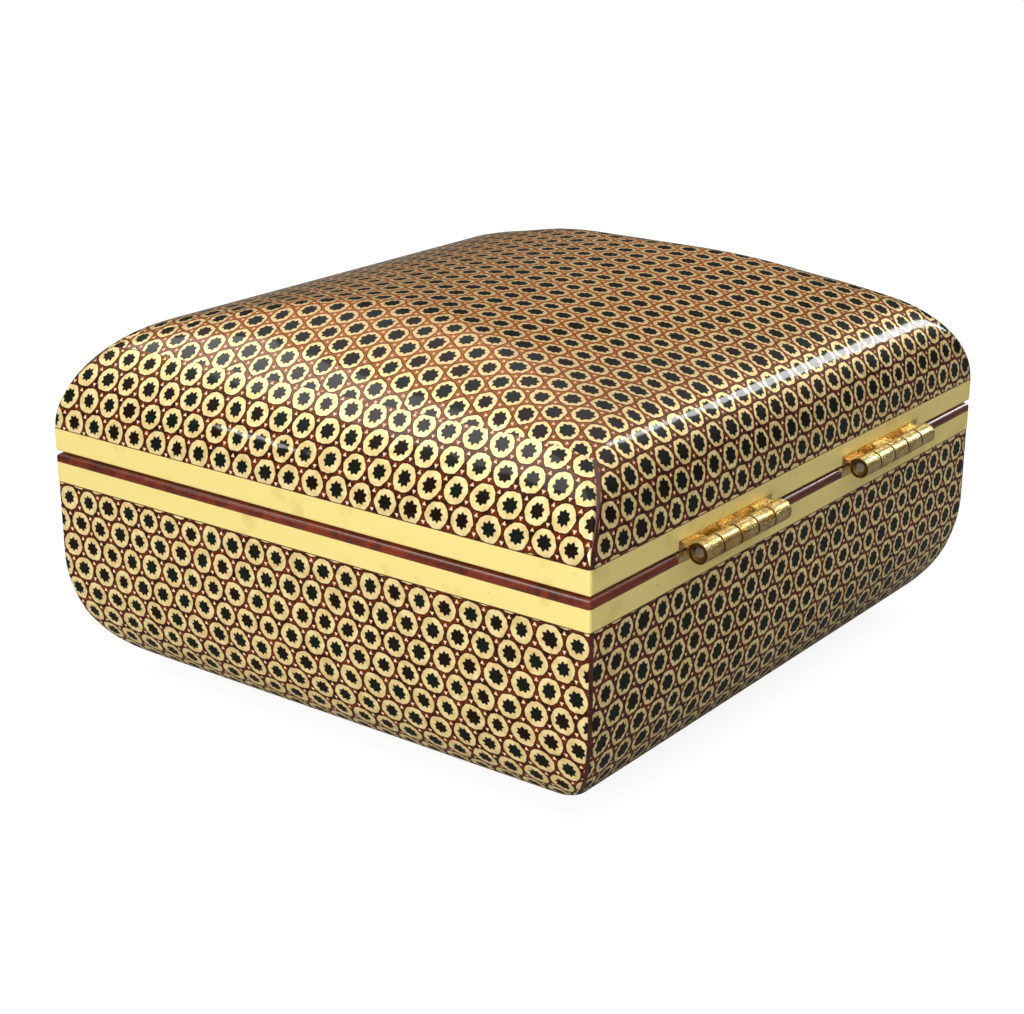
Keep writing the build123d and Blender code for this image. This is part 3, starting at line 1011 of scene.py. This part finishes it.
def napped(name, deep, lit, nap_size, sheen):
    """Cloth with a nap: short fibres that catch the light at a glance, brushed about in patches."""
    material, tree, shader = new_material(name)
    coords = put(tree, "ShaderNodeTexCoord").outputs["Object"]
    fibres = put(tree, "ShaderNodeTexNoise", [("Vector", coords), ("Scale", 1 / nap_size), ("Detail", 2.0)])
    brushed = put(tree, "ShaderNodeTexNoise", [("Vector", coords), ("Scale", 75.0), ("Detail", 3.0)])
    mixed = put(tree, "ShaderNodeMix", [("Factor", 0.45), (2, fibres.outputs[0]), (3, brushed.outputs[0])])
    shades = put(tree, "ShaderNodeValToRGB", [("Fac", mixed.outputs[0])])
    shades.color_ramp.elements[0].position = 0.38
    shades.color_ramp.elements[0].color = linear(deep)
    shades.color_ramp.elements[1].position = 0.64
    shades.color_ramp.elements[1].color = linear(lit)
    tree.links.new(shades.outputs["Color"], shader.inputs["Base Color"])
    bump = put(
        tree, "ShaderNodeBump", [("Strength", 0.7), ("Distance", 0.12 * mm), ("Height", fibres.outputs[0])]
    )
    tree.links.new(bump.outputs["Normal"], shader.inputs["Normal"])
    shader.inputs["Roughness"].default_value = 0.9
    shader.inputs["Specular IOR Level"].default_value = 0.1
    shader.inputs["Sheen Weight"].default_value = sheen
    shader.inputs["Sheen Roughness"].default_value = 0.35
    shader.inputs["Sheen Tint"].default_value = linear(lit)
    return material


# The ends' rings are broad, and those of the front, the back and the lid's top are narrower and more angular
broad_khatam = khatam_marquetry("lacquered khatam with broad rings", 0.425, 0.3, 0.205, 0.285)
narrow_khatam = khatam_marquetry("lacquered khatam with narrow rings", 0.412, 0.55, 0.25, 0.325)
sheet_edge = bare_wood("lacquered edge of the sheets", "#561A0A", "#260A04", 0.4, 0.4)
edging_brass = strip_brass("lacquered brass strip", "#F8E28E", "#B98F3C", 0.42, 0.4)
hinge_brass = engraved_brass()
nail_brass = strip_brass("turned brass nail", "#E2C274", "#8A6428", 0.3, 1.0)
lip_wood = bare_wood("lacquered red lip", "#74280B", "#380F04", 0.3, 0.7)
case_wood = bare_wood("plain poplar board", "#C9A26E", "#9C7444", 0.6, 0.0)
red_velvet = napped("crimson cotton velvet", "#3C0610", "#8A1424", 0.35 * mm, 0.9)
green_felt = napped("pressed green felt", "#12301C", "#2C5C38", 0.5 * mm, 0.35)
pin_wire = drawn_steel()

# The body's and the lid's sheets
for way, side in ((-1, "left"), (1, "right")):
    sheet = laid_sheet(f"body_sheet_{side}", across, body_rows, body_end_surface(way), bare_end)
    finish_sheet(sheet, (way, 0, 0), (broad_khatam, sheet_edge), "case", f"body_khatam_{side}")
for way, side in ((-1, "front"), (1, "back")):
    sheet = laid_sheet(f"body_sheet_{side}", across, body_rows, body_face_surface(way), bare_face)
    finish_sheet(sheet, (0, way, 0), (narrow_khatam, sheet_edge), "case", f"body_khatam_{side}")

lid_end_rows = [0.0] + steps(glue_line, seam_distance, 0.9 * mm)
for way, side in ((-1, "left"), (1, "right")):
    sheet = laid_sheet(f"lid_sheet_{side}", across, lid_end_rows, lid_end_surface(way), bare_end)
    finish_sheet(sheet, (way, 0, 0), (broad_khatam, sheet_edge), "lid", f"lid_khatam_{side}")

# The top sheet widens just above its seam with the ends, so two of its rows lie close together there
below_seam = face_seam_distance - 0.01 * mm
climb = [0.0] + steps(glue_line, below_seam, 1.0 * mm)
climb += steps(face_seam_distance, face_length, 1.2 * mm)
lid_top_rows = climb + [2 * face_length - distance for distance in climb[-2::-1]]
drape_columns = steps(drape_start, 1, 0.0125)[1:]
lid_top_columns = [-value for value in reversed(drape_columns)] + [drape_start * value for value in across]
lid_top_columns += drape_columns
top = laid_sheet("lid_sheet_top", lid_top_columns, lid_top_rows, lid_top_surface, bare_lid_face)
finish_sheet(top, (0, 0, 1), (narrow_khatam, sheet_edge), "lid", "lid_khatam_top")

# Velvet pads on the floor and the ceiling
east, north, high = Vector((1, 0, 0)), Vector((0, 1, 0)), Vector((0, 0, 1))
pad_width = case_width - 2 * (lining_inset + glue_gap)
pad_depth = case_depth - 2 * (lining_inset + glue_gap)
pad = soft_slab(
    "floor_cushion",
    (0, 0, floor_top),
    east,
    north,
    (pad_width, pad_depth, floor_pad_thickness),
    crown=1.3 * mm,
    edge=1.2 * mm,
    pull=0.15 * mm,
    material=red_velvet,
)
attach(pad, "case")
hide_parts("body_floor_pad")

ceiling_width = case_width - 2 * (hollow_inset + glue_gap)
ceiling_depth = case_depth - 2 * (hollow_inset + glue_gap)
ceiling = soft_slab(
    "ceiling_cushion",
    (0, 0, ceiling_pad_top),
    east,
    -north,
    (ceiling_width, ceiling_depth, ceiling_pad_thickness),
    crown=0.9 * mm,
    edge=0.7 * mm,
    pull=0.1 * mm,
    material=red_velvet,
)
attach(ceiling, "lid")
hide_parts("lid_ceiling_pad")

# Velvet over card on the walls.  The front and back lengths run the whole way, and the ends fit between them.
inner_width = case_width - 2 * hollow_inset
inner_depth = case_depth - 2 * hollow_inset
wall_places = {
    "front": ((0, -inner_depth / 2), -east, inner_width),
    "back": ((0, inner_depth / 2), east, inner_width),
    "left": ((-inner_width / 2, 0), north, inner_depth - 2 * lining),
    "right": ((inner_width / 2, 0), -north, inner_depth - 2 * lining),
}
lined_parts = {
    "body": (floor_top, body_lining_top, "case"),
    "lid": (lid_lining_bottom, ceiling_pad_bottom, "lid"),
}
for part, (bottom, top_edge, body) in lined_parts.items():
    for side, ((x, y), right, length) in wall_places.items():
        velvet = soft_slab(
            f"{part}_velvet_{side}",
            (x, y, (bottom + top_edge) / 2),
            right,
            high,
            (length, top_edge - bottom, lining),
            crown=0.2 * mm,
            edge=0.5 * mm,
            pull=0.0,
            material=red_velvet,
        )
        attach(velvet, body)
        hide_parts(f"{part}_lining_{side}")

# Felt under the base
felt = soft_slab(
    "base_felt",
    (0, 0, felt_thickness),
    east,
    -north,
    (felt_width, felt_depth, felt_thickness),
    crown=0.0,
    edge=0.5 * mm,
    pull=0.0,
    material=green_felt,
)
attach(felt, "case")
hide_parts("body_base_felt")

# What the pieces carried over from the frame are made of, by a word in their names
finishes = {
    "band": edging_brass,
    "lip": lip_wood,
    "wall": case_wood,
    "board": case_wood,
    "plate": case_wood,
    "panel": red_velvet,
    "leaf": hinge_brass,
    "nails": nail_brass,
    "pin": pin_wire,
}
for name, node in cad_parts.items():
    for word, material in finishes.items():
        if word in name:
            node.data.materials.clear()
            node.data.materials.append(material)
            break

# Floor: white paper, which the camera sees near white with the box's shadow on it
deselect()
bpy.ops.mesh.primitive_plane_add(size=1.4, location=(0, 0, 0))
floor = bpy.context.object
floor.name = "studio_floor"
floor_material, floor_tree, floor_shader = new_material("white paper sweep")
floor_shader.inputs["Roughness"].default_value = 0.9
floor_shader.inputs["Specular IOR Level"].default_value = 0.0
paper_glow = put(floor_tree, "ShaderNodeEmission", [("Color", (1, 1, 1, 1)), ("Strength", 1.15)])
floor_rays = put(floor_tree, "ShaderNodeLightPath")
paper_white = put(
    floor_tree,
    "ShaderNodeMapRange",
    [("Value", floor_rays.outputs["Is Glossy Ray"]), ("To Min", 0.8), ("To Max", 0.14)],
)
floor_tree.links.new(paper_white.outputs["Result"], floor_shader.inputs["Base Color"])
paper_share = put(
    floor_tree, "ShaderNodeMath", [(0, floor_rays.outputs["Is Camera Ray"]), (1, 0.78)], operation="MULTIPLY"
)
paper = put(
    floor_tree,
    "ShaderNodeMixShader",
    [(0, paper_share.outputs[0]), (1, floor_shader.outputs[0]), (2, paper_glow.outputs[0])],
)
floor_tree.links.new(paper.outputs[0], floor_tree.nodes["Material Output"].inputs["Surface"])
floor.data.materials.append(floor_material)

# A broad lamp lights the right end and the back, and a window gleams on the lid above that end.  A tall
# narrow lamp streaks the back shoulder, and three small bulbs glint on the end.
white_room()
softbox("key", around(10, 13, 1.0), box_middle, 0.5, 0.35, 8.4)
softbox("window", around(-61, 46, 0.9), box_middle, 0.75, 0.2, 1.6)
softbox("shoulder_streak", around(160, 31, 0.9), box_middle, 0.07, 0.6, 1.9)
bulb_places = ((-46.3, 24.8), (-45.0, 24.6), (-43.7, 24.3))
for number, (azimuth, elevation) in enumerate(bulb_places):
    softbox(f"bulb_{number}", around(azimuth, elevation, 0.9), box_middle, 0.018, 0.018, 0.02)

# Camera, as the photograph's edges place it, with its lens in millimetres and its roll in radians
camera_place = Vector((281.3, 207.3, 149.1)) * mm
camera_sight = Vector((-0.75347, -0.56661, -0.33352))
camera_roll = 0.0017
focal_length = 71.78
camera_data = bpy.data.cameras.new("photograph")
camera = bpy.data.objects.new("photograph", camera_data)
bpy.context.scene.collection.objects.link(camera)
camera_data.lens = focal_length
camera_data.sensor_width = 36.0
camera.location = camera_place
camera_turn = camera_sight.to_track_quat("-Z", "Y").to_matrix() @ Matrix.Rotation(camera_roll, 3, "Z")
camera.rotation_euler = camera_turn.to_euler()
bpy.context.scene.camera = camera
bpy.context.scene.view_settings.view_transform = "Standard"
